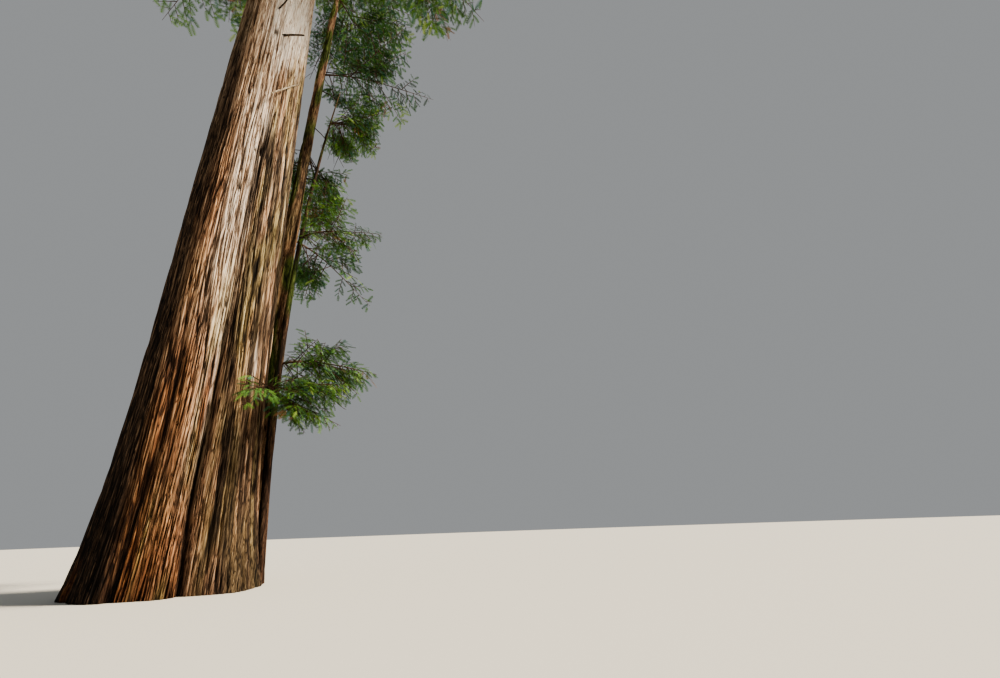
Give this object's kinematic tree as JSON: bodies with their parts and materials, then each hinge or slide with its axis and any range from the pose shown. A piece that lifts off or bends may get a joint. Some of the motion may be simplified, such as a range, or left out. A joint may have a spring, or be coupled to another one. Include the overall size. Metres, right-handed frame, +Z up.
{
  "type": "redwood tree",
  "caption": "Old redwood clump: fluted tapering trunk with a slender mossy stem and a basal sprout from the same root, drooping boughs and flat needle sprays.",
  "frame": {"origin": "middle of the flat cut under the main trunk, at ground level", "axes": "+Z up the trunk; +X towards the two younger stems; -Y is the side that the picture shows"},
  "size_m": [10.1803, 9.9108, 40],
  "materials": {
    "bark": "thick fibrous ridged bark, dull",
    "mossy_bark": "ridged bark under thin moss, dull",
    "young_bark": "thin stringy bark, dull",
    "dead_wood": "weathered bare wood, dull",
    "needles": "flat needle sprays, slightly waxy",
    "shade_needles": "flat needle sprays in shade, slightly waxy"
  },
  "bodies": {
    "root": {"trunk": "bark", "second_stem": "mossy_bark", "sprout_stem": "young_bark", "bough_01": "bark", "bough_02": "bark", "bough_03": "bark", "bough_04": "bark", "bough_05": "bark", "bough_06": "bark", "bough_07": "bark", "bough_08": "bark", "bough_09": "bark", "bough_10": "bark", "bough_11": "bark", "bough_12": "bark", "bough_13": "bark", "bough_14": "bark", "bough_15": "bark", "bough_16": "bark", "bough_17": "bark", "bough_18": "bark", "bough_19": "bark", "bough_20": "bark", "dead_stub_1": "dead_wood", "dead_stub_2": "dead_wood", "dead_stub_3": "dead_wood", "crown_mass_01": "needles", "crown_mass_02": "needles", "crown_mass_03": "needles", "crown_mass_04": "needles", "crown_mass_05": "needles", "crown_mass_06": "needles", "crown_mass_07": "needles", "crown_mass_08": "needles", "crown_mass_09": "needles", "crown_mass_10": "needles", "crown_mass_11": "needles", "crown_mass_12": "needles", "crown_mass_13": "needles", "crown_mass_14": "needles", "crown_mass_15": "needles", "crown_mass_16": "needles", "crown_mass_17": "needles", "crown_mass_18": "needles", "crown_mass_19": "needles", "crown_mass_20": "needles", "leader_mass_01": "needles", "leader_mass_02": "needles", "leader_mass_03": "needles", "leader_mass_04": "needles", "leader_mass_05": "needles", "second_stem_mass_01": "shade_needles", "second_stem_mass_02": "shade_needles", "second_stem_mass_03": "shade_needles", "second_stem_mass_04": "shade_needles", "second_stem_mass_05": "shade_needles", "sprout_mass_01": "needles", "sprout_mass_02": "needles", "sprout_mass_03": "needles", "sprout_mass_04": "needles"}
  },
  "joints": []
}
